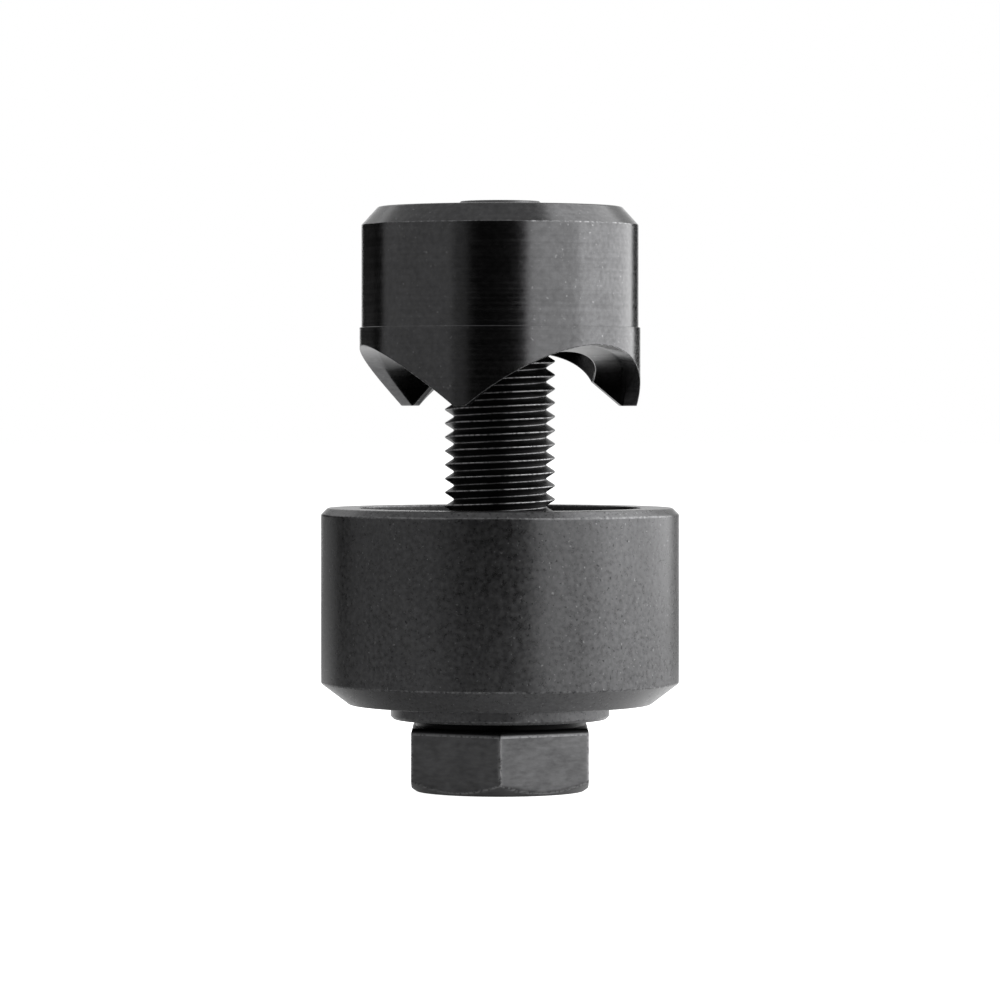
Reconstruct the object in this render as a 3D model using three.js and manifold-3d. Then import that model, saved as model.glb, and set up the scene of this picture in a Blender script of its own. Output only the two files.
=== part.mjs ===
// Screw punch for round holes in sheet metal. A hex-headed draw screw passes through a cup-shaped
// die and screws into a punch with three cutting teeth. Turning the head draws the punch into the
// die. A thrust ball bearing sits in the underside of the die and carries the pull of the head.
//
// Millimetres, +Z up along the axis of the screw. The origin is the middle of the head's outer
// face, which the tool stands on, and -Y is the front.

import * as THREE from 'three';
import { mergeVertices } from 'three/addons/utils/BufferGeometryUtils.js';
import Module from 'manifold-3d';

const wasm = await Module();
wasm.setup();

// Punch
const holeDiameter = 25.4; // the hole that the tool cuts, and so the cutting land of the punch
const bodyStep = 0.175; // how far the body is turned back from the cutting land, in radius
const toothCount = 3;
const toothDepth = 5.45; // tip of a tooth to the top of the valley beside it
const edgeExponent = 1.9; // how the edge falls from a valley to a tip: 1 is straight, 2 a parabola
const toothTurnDegrees = -16.5; // first tip, from the front towards +X
const landAboveValley = 1.65;
const bodyHeight = 10.9; // step to top face
const punchChamferWidth = 1.5;
const punchChamferHeight = 1.65;
const tipLength = 1; // flat end of a tooth, measured round the rim
const tipWidth = 1.4; // the same, measured along the radius
const bevelRise = 2.2; // how far the inner edge of a tooth stays back from its tip
const valleyDip = 0.6; // how far the inner edge of a valley lies below the outer one
const wallThickness = 4.1;
const hollowAboveValley = 3.0;
const hollowCorner = 1.0;
const threadClearance = 0.15;
const boreChamfer = 0.6;

// Die
const cuttingClearance = 0.1; // between cutting land and die, in radius
const dieWall = 3.4;
const dieFloor = 3.2;
const slugRoom = 3.8; // depth of the cavity beyond the height of the cutting land
const cavityCorner = 0.8;
const dieRimChamfer = 0.6;
const dieBaseChamferWidth = 2.5;
const dieBaseChamferHeight = 1.9;
const dieBoreClearance = 0.4;

// Thrust ball bearing
const washerThickness = 1.45;
const washerChamfer = 0.25;
const washerShow = 1.35; // how far the shaft washer stands out of the die
const shaftWasherClearance = 0.2;
const housingWasherClearance = 0.5;
const counterboreClearance = 0.25;
const ballDiameter = 2.5;
const ballSpace = 0.8; // least room between two balls
const raceShoulder = 1.1; // flat of a washer on each side of the row of balls
const racewayDepth = 0.3;
const racewayPlay = 0.1;
const cageThickness = 1.1;
const cageSetback = 0.35; // how far the cage stays inside the edges of the washers
const pocketClearance = 0.15;

// Draw screw
const screwDiameter = 10;
const threadPitch = 1.25;
const threadDepth = 0.77; // crest to root
const threadFront = 1.05; // level of a crest at the front, counted from the head's outer face
const plainShank = 9; // from the head to the thread
const screwEndChamfer = 1.45;
const screwProud = 0.5; // how far the screw stands out of the punch
const acrossFlats = 16;
const headHeight = 6.5;
const headFaceShare = 0.955; // round end face of the head, as a share of the width across flats
const headChamferDegrees = 34;
const collarHeight = 0.9; // round collar between the hexagon and the washer
const collarDiameter = 15.3;

// How far the tips of the teeth stand above the die as the tool is shown
const openGap = 9.2;

// Facets, and the small lengths of the solid modelling itself
const turnedFacets = 84;
const threadFacets = 24;
const bearingFacets = 64;
const pocketFacets = 10;
const ballFacets = 12;
const ballRings = 6;
const arcSteps = 2;
const overrun = 0.5;
const weldDistance = 0.0001;
const halfFacet = Math.PI / turnedFacets; // each tip of a tooth lies in the middle of a facet

const punchRadius = holeDiameter / 2;
const shankRadius = screwDiameter / 2;
const landHeight = toothDepth + landAboveValley;
const punchHeight = landHeight + bodyHeight;
const cavityDepth = landHeight + slugRoom;
const washerGap = ballDiameter - 2 * racewayDepth + 2 * racewayPlay;
const counterboreDepth = 2 * washerThickness + washerGap - washerShow;
const dieHeight = cavityDepth + dieFloor + counterboreDepth;
const washerBoreRadius = shankRadius + shaftWasherClearance;
const washerRadius = washerBoreRadius + ballDiameter + 2 * raceShoulder;
const ballCircleRadius = (washerRadius + washerBoreRadius) / 2;
const ballCount = Math.floor((2 * Math.PI * ballCircleRadius) / (ballDiameter + ballSpace));

const dieLevel = headHeight + washerShow;
const punchLevel = dieLevel + dieHeight + openGap;
const housingWasherLevel = dieLevel + counterboreDepth - washerThickness;
const ballLevel = headHeight + washerThickness + washerGap / 2;
const screwEndLevel = punchLevel + punchHeight + screwProud;

const blackedSteel = { color: 0x2c2d2e, roughness: 0.42, metalness: 0.9 };
const speckledSteel = { color: 0x333435, roughness: 0.55, metalness: 0.85 };
const bearingSteel = { color: 0x8d9093, roughness: 0.25, metalness: 1.0 };
const brass = { color: 0xa98a4d, roughness: 0.35, metalness: 1.0 };

// Solid of revolution round Z. The profile holds radius and height, with the material on its left.
function turned(profile, facets) {
  const geometry = new THREE.LatheGeometry(profile.getPoints(arcSteps), facets);
  return geometry.rotateX(Math.PI / 2);
}

// Profile through the given corners, closed back to its first point.
function outline(corners) {
  const path = new THREE.Path();
  path.moveTo(...corners[0]);
  corners.slice(1).forEach((corner) => path.lineTo(...corner));
  path.closePath();
  return path;
}

// One closed skin: corners at the same place are shared and faces without area are left out.
function welded(geometry) {
  const bare = geometry.clone();
  bare.deleteAttribute('normal');
  bare.deleteAttribute('uv');
  const skin = mergeVertices(bare, weldDistance);
  const corners = skin.index.array;
  const kept = [];
  for (let i = 0; i < corners.length; i += 3) {
    const [a, b, c] = corners.slice(i, i + 3);
    if (a !== b && b !== c && c !== a) kept.push(a, b, c);
  }
  skin.setIndex(kept);
  return skin;
}

function solidOf(geometry) {
  const skin = welded(geometry);
  const vertProperties = new Float32Array(skin.attributes.position.array);
  const triVerts = new Uint32Array(skin.index.array);
  return new wasm.Manifold(new wasm.Mesh({ numProp: 3, vertProperties, triVerts }));
}

function geometryOf(solid) {
  const mesh = solid.getMesh();
  const geometry = new THREE.BufferGeometry();
  geometry.setAttribute('position', new THREE.BufferAttribute(mesh.vertProperties, 3));
  geometry.setIndex(new THREE.BufferAttribute(mesh.triVerts, 1));
  geometry.computeVertexNormals();
  return geometry;
}

function piece(name, geometry, finish, level) {
  const mesh = new THREE.Mesh(geometry, new THREE.MeshStandardMaterial(finish));
  mesh.name = name;
  mesh.position.z = level;
  return mesh;
}

// Height of an edge of the teeth at an angle from the tip of a tooth, which is flat there: from
// the level of the tips it rises to the level of the middle of the valley.
function edgeHeight(angle, tipLevel, valleyLevel) {
  const turn = (angle * toothCount) / (2 * Math.PI);
  const fromValley = Math.abs(turn - Math.floor(turn) - 0.5) * 2;
  const flatShare = (tipLength * toothCount) / (2 * Math.PI * punchRadius);
  const fall = Math.min(1, fromValley / (1 - flatShare)) ** edgeExponent;
  return valleyLevel - (valleyLevel - tipLevel) * fall;
}

// Waved ring that mills the valleys. Its top is level from the cutting edge to the foot of the
// bevel, and from there it is ruled by straight lines to the inner edge of the teeth.
function valleyCutter() {
  const hollowRadius = punchRadius - wallThickness;
  const bevelFoot = punchRadius - tipWidth;
  const inner = hollowRadius - overrun;
  const outer = punchRadius + overrun;
  const ring = outline([
    [inner, -2 * overrun],
    [outer, -2 * overrun],
    [outer, 0],
    [bevelFoot, 0],
    [hollowRadius, 0],
    [inner, 0],
  ]);
  const geometry = turned(ring, turnedFacets);
  const place = geometry.attributes.position;
  for (let i = 0; i < place.count; i += 1) {
    if (place.getZ(i) < -overrun) continue;
    const angle = Math.atan2(place.getX(i), -place.getY(i)) + halfFacet;
    const radius = Math.hypot(place.getX(i), place.getY(i));
    const onBevel = radius < (bevelFoot + hollowRadius) / 2;
    const tipLevel = onBevel ? bevelRise : 0;
    const valleyLevel = onBevel ? toothDepth - valleyDip : toothDepth;
    place.setZ(i, edgeHeight(angle, tipLevel, valleyLevel));
  }
  return geometry;
}

// Punch, from its tips up: teeth, cutting land, step, body, chamfer, threaded bore and hollow.
function punchGeometry() {
  const bodyRadius = punchRadius - bodyStep;
  const boreRadius = shankRadius + threadClearance;
  const hollowRadius = punchRadius - wallThickness;
  const hollowDepth = toothDepth + hollowAboveValley;
  const profile = new THREE.Path();
  profile.moveTo(punchRadius, -overrun);
  profile.lineTo(punchRadius, landHeight);
  profile.lineTo(bodyRadius, landHeight);
  profile.lineTo(bodyRadius, punchHeight - punchChamferHeight);
  profile.lineTo(bodyRadius - punchChamferWidth, punchHeight);
  profile.lineTo(boreRadius + boreChamfer, punchHeight);
  profile.lineTo(boreRadius, punchHeight - boreChamfer);
  profile.lineTo(boreRadius, hollowDepth + boreChamfer);
  profile.lineTo(boreRadius + boreChamfer, hollowDepth);
  const cornerRadius = hollowRadius - hollowCorner;
  const cornerHeight = hollowDepth - hollowCorner;
  profile.absarc(cornerRadius, cornerHeight, hollowCorner, Math.PI / 2, 0, true);
  profile.lineTo(hollowRadius, -overrun);
  profile.closePath();
  const blank = solidOf(turned(profile, turnedFacets));
  return geometryOf(blank.subtract(solidOf(valleyCutter())));
}

// Die, from its underside up: counterbore for the bearing, chamfers, rim, cavity and screw bore.
function dieGeometry() {
  const cavityRadius = punchRadius + cuttingClearance;
  const dieRadius = cavityRadius + dieWall;
  const boreRadius = shankRadius + dieBoreClearance;
  const counterboreRadius = washerRadius + counterboreClearance;
  const floorLevel = dieHeight - cavityDepth;
  const profile = new THREE.Path();
  profile.moveTo(counterboreRadius, 0);
  profile.lineTo(dieRadius - dieBaseChamferWidth, 0);
  profile.lineTo(dieRadius, dieBaseChamferHeight);
  profile.lineTo(dieRadius, dieHeight - dieRimChamfer);
  profile.lineTo(dieRadius - dieRimChamfer, dieHeight);
  profile.lineTo(cavityRadius, dieHeight);
  const cornerRadius = cavityRadius - cavityCorner;
  profile.absarc(cornerRadius, floorLevel + cavityCorner, cavityCorner, 0, -Math.PI / 2, true);
  profile.lineTo(boreRadius + boreChamfer, floorLevel);
  profile.lineTo(boreRadius, floorLevel - boreChamfer);
  profile.lineTo(boreRadius, counterboreDepth);
  profile.lineTo(counterboreRadius, counterboreDepth);
  profile.closePath();
  return welded(turned(profile, turnedFacets));
}

// Bearing washer lying on its plain face, with the raceway groove on top.
function washerGeometry(boreRadius) {
  const top = washerThickness;
  const grooveRadius = ballDiameter / 2 + racewayPlay;
  const grooveCentre = top + grooveRadius - racewayDepth;
  const grooveAngle = Math.acos((grooveCentre - top) / grooveRadius);
  const down = -Math.PI / 2;
  const profile = new THREE.Path();
  profile.moveTo(boreRadius, 0);
  profile.lineTo(washerRadius - washerChamfer, 0);
  profile.lineTo(washerRadius, washerChamfer);
  profile.lineTo(washerRadius, top - washerChamfer);
  profile.lineTo(washerRadius - washerChamfer, top);
  const first = down + grooveAngle;
  const last = down - grooveAngle;
  profile.absarc(ballCircleRadius, grooveCentre, grooveRadius, first, last, true);
  profile.lineTo(boreRadius, top);
  profile.closePath();
  return welded(turned(profile, bearingFacets));
}

// Flat ring with a round pocket for each ball.
function cageGeometry() {
  const pocketRadius = ballDiameter / 2 + pocketClearance;
  const inner = washerBoreRadius + cageSetback;
  const outer = washerRadius - cageSetback;
  const half = cageThickness / 2;
  const ring = outline([[inner, -half], [outer, -half], [outer, half], [inner, half]]);
  let cage = solidOf(turned(ring, bearingFacets));
  const height = cageThickness + 2 * overrun;
  for (let i = 0; i < ballCount; i += 1) {
    const pocket = new THREE.CylinderGeometry(pocketRadius, pocketRadius, height, pocketFacets);
    pocket.rotateX(Math.PI / 2);
    const place = ballPlace(i);
    pocket.translate(place.x, place.y, 0);
    cage = cage.subtract(solidOf(pocket));
  }
  return geometryOf(cage);
}

function ballPlace(i) {
  const angle = (i * 2 * Math.PI) / ballCount;
  return new THREE.Vector2(0, -ballCircleRadius).rotateAround(new THREE.Vector2(), angle);
}

// Shank with its thread. The rows of crests and roots climb one pitch in each turn, so that the last
// column of facets meets the first one turn higher, and they are held between the ends of the
// thread. It runs out into the plain shank below and into the chamfer above.
function shankGeometry() {
  const low = headHeight + plainShank;
  const high = screwEndLevel;
  const firstTurn = Math.floor((low - threadFront) / threadPitch) - 1;
  const lastTurn = Math.ceil((high - threadFront) / threadPitch);
  const corners = [[0, headHeight / 2], [shankRadius, headHeight / 2]];
  for (let turn = firstTurn; turn <= lastTurn; turn += 1) {
    corners.push([shankRadius, threadFront + turn * threadPitch]);
    corners.push([shankRadius - threadDepth, threadFront + (turn + 0.5) * threadPitch]);
  }
  corners.push([0, high]);
  const path = new THREE.Path();
  path.moveTo(...corners[0]);
  corners.slice(1).forEach((corner) => path.lineTo(...corner));
  const geometry = turned(path, threadFacets);
  const place = geometry.attributes.position;
  for (let i = 0; i < place.count; i += 1) {
    const row = i % corners.length;
    const column = (i - row) / corners.length;
    if (row < 2 || row === corners.length - 1) continue;
    const step = (row - 2 + 2 * firstTurn) * threadFacets + 2 * column;
    const climbed = threadFront + (step * threadPitch) / (2 * threadFacets);
    const level = THREE.MathUtils.clamp(climbed, low, high);
    const runOut = shankRadius - (level - low);
    const chamfer = shankRadius - screwEndChamfer + (high - level);
    const radius = Math.min(Math.max(corners[row][0], runOut), chamfer);
    const angle = ((column % threadFacets) * 2 * Math.PI) / threadFacets;
    place.setXYZ(i, radius * Math.sin(angle), -radius * Math.cos(angle), level);
  }
  return geometry;
}

// Draw screw, head down: hexagon whose corners are turned to a cone on the outer face, the collar
// that carries the washer, and the threaded shank.
function screwGeometry() {
  const cornerRadius = acrossFlats / Math.sqrt(3);
  const hexHeight = headHeight - collarHeight;
  const hexagon = new THREE.CylinderGeometry(cornerRadius, cornerRadius, hexHeight, 6);
  hexagon.rotateX(Math.PI / 2);
  hexagon.translate(0, 0, hexHeight / 2);
  const faceRadius = (acrossFlats / 2) * headFaceShare;
  const wideRadius = cornerRadius + overrun;
  const rise = (wideRadius - faceRadius) * Math.tan(THREE.MathUtils.degToRad(headChamferDegrees));
  const cone = outline([
    [0, 0],
    [faceRadius, 0],
    [wideRadius, rise],
    [wideRadius, headHeight],
    [0, headHeight],
  ]);
  const collarRadius = collarDiameter / 2;
  const collar = outline([
    [0, hexHeight / 2],
    [collarRadius, hexHeight / 2],
    [collarRadius, headHeight],
    [0, headHeight],
  ]);
  const head = solidOf(hexagon).intersect(solidOf(turned(cone, turnedFacets)));
  const raised = head.add(solidOf(turned(collar, bearingFacets)));
  return geometryOf(raised.add(solidOf(shankGeometry())));
}

// Everything that turns with the screw
const screwGroup = new THREE.Group();
screwGroup.add(piece('draw_screw', screwGeometry(), blackedSteel, 0));
screwGroup.add(piece('shaft_washer', washerGeometry(washerBoreRadius), blackedSteel, headHeight));

// Balls and their cage, which go round at half the speed of the screw
const cageGroup = new THREE.Group();
cageGroup.position.z = ballLevel;
cageGroup.add(piece('ball_cage', cageGeometry(), brass, 0));
for (let i = 0; i < ballCount; i += 1) {
  const geometry = welded(new THREE.SphereGeometry(ballDiameter / 2, ballFacets, ballRings));
  const ball = piece(`bearing_ball_${i + 1}`, geometry, bearingSteel, 0);
  const place = ballPlace(i);
  ball.position.set(place.x, place.y, 0);
  cageGroup.add(ball);
}

// Die, with the housing washer lying face down under the top of its counterbore
const dieGroup = new THREE.Group();
dieGroup.add(piece('die', dieGeometry(), speckledSteel, dieLevel));
const housingBoreRadius = shankRadius + housingWasherClearance;
const housingWasher = washerGeometry(housingBoreRadius).rotateX(Math.PI);
dieGroup.add(piece('housing_washer', housingWasher, bearingSteel, housingWasherLevel + washerThickness));

const punch = piece('punch', punchGeometry(), blackedSteel, punchLevel);
punch.rotation.z = THREE.MathUtils.degToRad(toothTurnDegrees) + halfFacet;

const group = new THREE.Group();
group.add(screwGroup, cageGroup, dieGroup, punch);

export default group;
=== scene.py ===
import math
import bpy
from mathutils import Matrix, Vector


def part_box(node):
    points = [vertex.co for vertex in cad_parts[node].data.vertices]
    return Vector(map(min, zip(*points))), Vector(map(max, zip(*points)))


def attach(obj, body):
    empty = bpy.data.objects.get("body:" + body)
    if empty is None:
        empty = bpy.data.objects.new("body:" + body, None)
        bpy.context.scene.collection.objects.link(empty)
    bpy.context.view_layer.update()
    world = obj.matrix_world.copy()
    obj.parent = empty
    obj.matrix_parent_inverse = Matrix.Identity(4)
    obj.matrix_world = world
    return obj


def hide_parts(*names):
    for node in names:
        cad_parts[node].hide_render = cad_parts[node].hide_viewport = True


bl_info = {
    "name": "Screw punch",
    "version": (1, 0, 0),
    "blender": (4, 5, 0),
    "location": "View3D > Sidebar > Screw punch",
    "description": "Threads, rounded edges and steel finishes on a screw punch for sheet metal",
    "category": "Add Mesh",
}

import bmesh
import bpy
import numpy as np
from bpy.props import FloatProperty, FloatVectorProperty, IntProperty, PointerProperty
from mathutils import Vector

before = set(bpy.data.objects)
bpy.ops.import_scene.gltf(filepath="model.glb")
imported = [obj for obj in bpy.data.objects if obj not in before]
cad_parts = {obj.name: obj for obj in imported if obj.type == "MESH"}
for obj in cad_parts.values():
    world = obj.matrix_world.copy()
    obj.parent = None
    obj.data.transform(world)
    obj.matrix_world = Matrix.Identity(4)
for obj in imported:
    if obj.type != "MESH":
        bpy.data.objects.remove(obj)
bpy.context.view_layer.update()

# Places that the frame gives, in metres: the lowest and highest corner of each CAD node
punch_low, punch_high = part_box("punch")
die_low, die_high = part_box("die")
screw_low, screw_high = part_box("draw_screw")
shaft_low, shaft_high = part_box("shaft_washer")
housing_low, housing_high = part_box("housing_washer")
BALLS = sorted(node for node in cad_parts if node.startswith("bearing_ball_"))

MM = 0.001
FULL_TURN = 2 * math.pi
WHITE = (1, 1, 1, 1)
BLACK = (0, 0, 0, 1)
FRONT = -math.pi / 2  # the front of the tool as an angle about Z, counted from +X

# How finely the surfaces are drawn
PUNCH_COLUMNS = 480
DIE_COLUMNS = 192
WASHER_COLUMNS = 144
BALL_COLUMNS = 48
BALL_ROWS = 24
FILLET_STEPS = 3
ARC_STEPS = 8
GUARD = 0.04 * MM  # row of points beside a rounded edge, which keeps the face next to it flat
WELD = 0.0001 * MM


def linear(hex_colour):
    """sRGB hex colour as linear red, green and blue: c / 12.92 below 0.04045, and above that
    ((c + 0.055) / 1.055) ** 2.4."""
    parts = [int(hex_colour[i : i + 2], 16) / 255 for i in (1, 3, 5)]
    return [c / 12.92 if c <= 0.04045 else ((c + 0.055) / 1.055) ** 2.4 for c in parts]


def length(label, millimetres, about):
    """Property for a length, stored in metres."""
    return FloatProperty(
        name=label,
        description=about,
        default=millimetres * MM,
        precision=5,
        subtype="DISTANCE",
        unit="LENGTH",
    )


def angle(label, degrees, about):
    """Property for an angle, stored in radians."""
    return FloatProperty(
        name=label,
        description=about,
        default=math.radians(degrees),
        subtype="ANGLE",
        unit="ROTATION",
    )


def colour(label, hex_colour, about):
    """Property for a colour, stored as linear red, green and blue."""
    return FloatVectorProperty(
        name=label,
        description=about,
        default=linear(hex_colour),
        min=0.0,
        max=1.0,
        subtype="COLOR",
    )


class PunchSizes(bpy.types.PropertyGroup):
    hole_diameter: length("Hole diameter", 25.4, "Diameter of the cutting land")
    body_step: length("Body step", 0.175, "How far the body is turned back, in radius")
    teeth: IntProperty(name="Teeth", description="Number of cutting teeth", default=3)
    tooth_depth: length("Tooth depth", 5.45, "Tip of a tooth to the top of a valley")
    edge_exponent: FloatProperty(
        name="Edge exponent",
        description="How the edge falls to a tip: 1 is straight, 2 a parabola",
        default=1.9,
    )
    tooth_turn: angle("Tooth turn", -16.5, "First tip, counted from the front towards +X")
    land_above_valley: length("Land above valley", 1.65, "Valley top to the step")
    chamfer_width: length("Chamfer width", 1.5, "Width of the chamfer round the top")
    chamfer_height: length("Chamfer height", 1.65, "Height of the chamfer round the top")
    tip_length: length("Tip length", 1.0, "Flat end of a tooth round the rim")
    tip_width: length("Tip width", 1.4, "Flat end of a tooth along the radius")
    bevel_rise: length("Bevel rise", 2.2, "Inner edge above the tip of a tooth")
    valley_dip: length("Valley dip", 0.6, "Inner edge below the outer edge in a valley")
    wall: length("Wall", 4.1, "Wall of the hollow, from the cutting land")
    hollow_above_valley: length("Hollow above valley", 3.0, "Valley top to the ceiling")
    hollow_corner: length("Hollow corner", 1.0, "Rounding between wall and ceiling")
    countersink_radius: length("Countersink radius", 5.75, "Mouth of the threaded bore")


class DieSizes(bpy.types.PropertyGroup):
    cutting_clearance: length("Cutting clearance", 0.1, "Cutting land to die, in radius")
    cavity_depth: length("Cavity depth", 10.9, "Rim to cavity floor")
    cavity_corner: length("Cavity corner", 0.8, "Rounding between wall and floor")
    rim_chamfer: length("Rim chamfer", 0.6, "Chamfer outside the rim")
    base_chamfer_width: length("Base chamfer width", 2.5, "Width of the chamfer below")
    base_chamfer_height: length("Base chamfer height", 1.9, "Height of the chamfer below")
    bore_radius: length("Bore radius", 5.4, "Hole that the screw passes through")
    bore_chamfer: length("Bore chamfer", 0.6, "Chamfer of the bore in the cavity")
    counterbore_clearance: length("Counterbore clearance", 0.25, "Room round the washers")


class BearingSizes(bpy.types.PropertyGroup):
    shaft_bore: length("Shaft washer bore", 5.2, "Bore radius of the shaft washer")
    housing_bore: length("Housing washer bore", 5.5, "Bore radius of the housing washer")
    washer_chamfer: length("Washer chamfer", 0.25, "Chamfer of the washers")
    raceway_depth: length("Raceway depth", 0.3, "Depth of the grooves that the balls run in")
    raceway_play: length("Raceway play", 0.1, "Groove radius beyond the ball's")


class ScrewSizes(bpy.types.PropertyGroup):
    crest_radius: length("Crest radius", 4.98, "Thread crests of the screw")
    pitch: length("Pitch", 1.25, "Rise of the thread in one turn")
    crest_level: length("Crest level", 1.3625, "Level of a crest on the +X side")
    plain_shank: length("Plain shank", 9.0, "From the head to the thread")
    end_radius: length("End radius", 3.55, "Flat end of the screw")
    face_share: FloatProperty(
        name="Face share",
        description="Round outer face of the head, as a share of the width across the flats",
        default=0.955,
    )
    head_chamfer: angle("Head chamfer", 34, "Slope of the cone that takes off the corners")
    collar_height: length("Collar height", 0.6, "Round collar between hexagon and washer")
    collar_radius: length("Collar radius", 7.65, "Radius of the collar")


class Finishes(bpy.types.PropertyGroup):
    punch_oxide: colour("Punch oxide", "#616162", "Black oxide on the turned punch")
    die_oxide: colour("Die oxide", "#676768", "Black oxide on the tumbled die")
    screw_oxide: colour("Screw oxide", "#6d6d6e", "Black oxide on the draw screw")
    bare_steel: colour("Bare steel", "#9c9c9d", "Steel where the oxide is rubbed off")
    ground_steel: colour("Ground steel", "#b4b6b8", "Ground faces of the housing washer")
    ball_steel: colour("Ball steel", "#cfd0d2", "Polished balls")
    brass: colour("Brass", "#c9a765", "Pressed cage")
    floor: colour("Floor", "#b8b8b8", "Paper under the tool")


class StageSizes(bpy.types.PropertyGroup):
    eye_distance: length("Eye distance", 450, "Camera to the axis of the screw")
    eye_level: length("Eye level", 35.98, "Height of the camera")
    aim_level: length("Aim level", 26.3, "Height that the camera looks at")
    focal_length: FloatProperty(
        name="Focal length", description="Lens of the camera in millimetres", default=179.0
    )
    light_distance: length("Light distance", 450, "Softboxes to the axis of the screw")
    key_light: FloatProperty(
        name="Key light", description="Brightness of the large softbox at the right", default=3.0
    )
    high_light: FloatProperty(
        name="High light", description="Brightness of the softbox above the key light", default=1.7
    )
    side_light: FloatProperty(
        name="Side light", description="Brightness of the softbox beside the camera", default=1.95
    )
    fill_light: FloatProperty(
        name="Fill light", description="Brightness of the softbox at the left", default=0.42
    )
    edge_light: FloatProperty(
        name="Edge light", description="Brightness of the weak softbox beside the fill", default=0.2
    )
    back_light: FloatProperty(
        name="Back light", description="Brightness of the paper behind the tool", default=1.0
    )
    rear_light: FloatProperty(
        name="Rear light", description="Brightness of the softbox above the backdrop", default=0.6
    )
    top_light: FloatProperty(
        name="Top light", description="Brightness of the softbox overhead", default=0.48
    )
    floor_glow: FloatProperty(
        name="Floor glow", description="How much the floor is lifted towards white", default=0.9
    )
    # Painted light: the floor's emission on its lit side, where no lamp is.
    floor_painted_light: FloatProperty(
        name="Floor light", description="Brightness of the lit side of the floor", default=0.85
    )
    room_light: FloatProperty(
        name="Room light", description="Brightness of the dark room in reflections", default=0.012
    )


GROUPS = {
    "punch": PunchSizes,
    "die": DieSizes,
    "bearing": BearingSizes,
    "screw": ScrewSizes,
    "finishes": Finishes,
    "stage": StageSizes,
}


# Surfaces
# Their wear and shade is 1 where the steel is rubbed bare and 0 on plain oxide. Below 0 it darkens the
# steel:
# -1 is painted shade in hollows and on the thread flanks, which also hold oil, and -2 is near black
# painted shade in the gap under the washer.


def turned_angles(columns, start=0.0):
    """Equally spaced angles about Z, one for each column, from start on."""
    return start + np.arange(columns) * FULL_TURN / columns


def unit(vectors):
    """Each vector divided by its length."""
    return vectors / np.linalg.norm(vectors, axis=-1, keepdims=True)


def rounded_profile(corners, around, closed=True):
    """Rows of (radius, level) through rounded corners, and the wear and shade of each row. A corner is
    (radius, level, setback, wear and shade), and its radius and level may change from column to
    column.
    A corner P becomes the curve (1-t)^2 A + 2t(1-t) P + t^2 B, where A and B lie on the lines to
    the corners before and after P, at the setback. A guard row lies just beyond A and beyond B.
    Wear and shade is the corner's own on the curve. Guard rows have no wear, but keep painted shade,
    which is below 0."""
    size = np.ones(len(around))
    path = np.array([[r * size, z * size] for r, z, _, _ in corners]).transpose(0, 2, 1)
    t = np.linspace(0, 1, FILLET_STEPS + 1)[:, None, None]
    rows, wear_and_shade = [], []
    for i, (_, _, setback, worn) in enumerate(corners):
        corner = path[i]
        if setback == 0 or (not closed and i in (0, len(corners) - 1)):
            rows.append(corner[None])
            wear_and_shade.append([worn])
            continue
        back = unit(path[i - 1] - corner)
        on = unit(path[(i + 1) % len(corners)] - corner)
        first = corner + back * setback
        last = corner + on * setback
        curve = (1 - t) ** 2 * first + 2 * t * (1 - t) * corner + t**2 * last
        rows.append((first + back * GUARD)[None])
        rows.append(curve)
        rows.append((last + on * GUARD)[None])
        wear_and_shade.append([min(worn, 0)] + [worn] * len(curve) + [min(worn, 0)])
    return np.concatenate(rows), np.concatenate(wear_and_shade)


def arc_corners(radius, level, size, start, end):
    """Corners on an arc in the profile: centre + size (cos a, sin a), with a from start to end."""
    a = np.linspace(start, end, ARC_STEPS + 1)
    return [(radius + size * math.cos(b), level + size * math.sin(b), 0, 0) for b in a]


def swept_points(profile, around):
    """Points of a turned surface: a row's radius r and level z at angle a become
    (r cos a, r sin a, z)."""
    radius, level, turn = np.broadcast_arrays(profile[..., 0], profile[..., 1], around)
    return np.stack([radius * np.cos(turn), radius * np.sin(turn), level], axis=-1)


def grid_quads(rows, columns, closed=True):
    """Quads between the rows and columns of a grid that goes round in columns, and also in rows
    when closed."""
    row, column = np.mgrid[0 : rows if closed else rows - 1, 0:columns]
    below = row * columns
    above = (row + 1) % rows * columns
    on = (column + 1) % columns
    return np.stack([below + column, below + on, above + on, above + column], -1).reshape(-1, 4)


def helical_band(low, high, lead, start, shares, around, thread, ends, worn):
    """Threaded surface between two levels as points, quads and wear and shade. Row k is the line
    z = start + lead (t + a / turn), where a is the angle and t a whole number plus one of the
    shares, held between low and high. Its radius is the thread's at the distance of t from the
    nearest crest of the screw, limited by the ends. The last column runs into the first one turn
    higher. Where the ends don't limit it, its wear and painted shade are also worked out from that
    distance."""
    first = math.floor((low - start) / lead - around[-1] / FULL_TURN) - 1
    last = math.ceil((high - start) / lead - around[0] / FULL_TURN) + 2
    turns = (np.arange(first, last)[:, None] + np.array(shares)).ravel()
    level = start + lead * (turns[:, None] + around / FULL_TURN)
    level = np.clip(level, low, high)
    share = np.abs(turns - np.round(turns))
    whole = np.broadcast_to(thread(share)[:, None], level.shape)
    radius = ends(whole, level)
    wear_and_shade = np.where(radius == whole, worn(share)[:, None], 0)
    points = swept_points(np.stack([radius, level], -1), around).reshape(-1, 3)
    rows, columns = level.shape
    row, column = np.mgrid[0 : rows - len(shares) - 1, 0:columns]
    on = (column + 1) % columns
    step = np.where(column == columns - 1, len(shares), 0)
    corners = [(row, column), (row + step, on), (row + step + 1, on), (row + 1, column)]
    quads = np.stack([r * columns + c for r, c in corners], -1).reshape(-1, 4)
    spread = np.ptp(points[quads][..., 2], axis=1)
    return points, quads[spread > 0], wear_and_shade.ravel()


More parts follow.
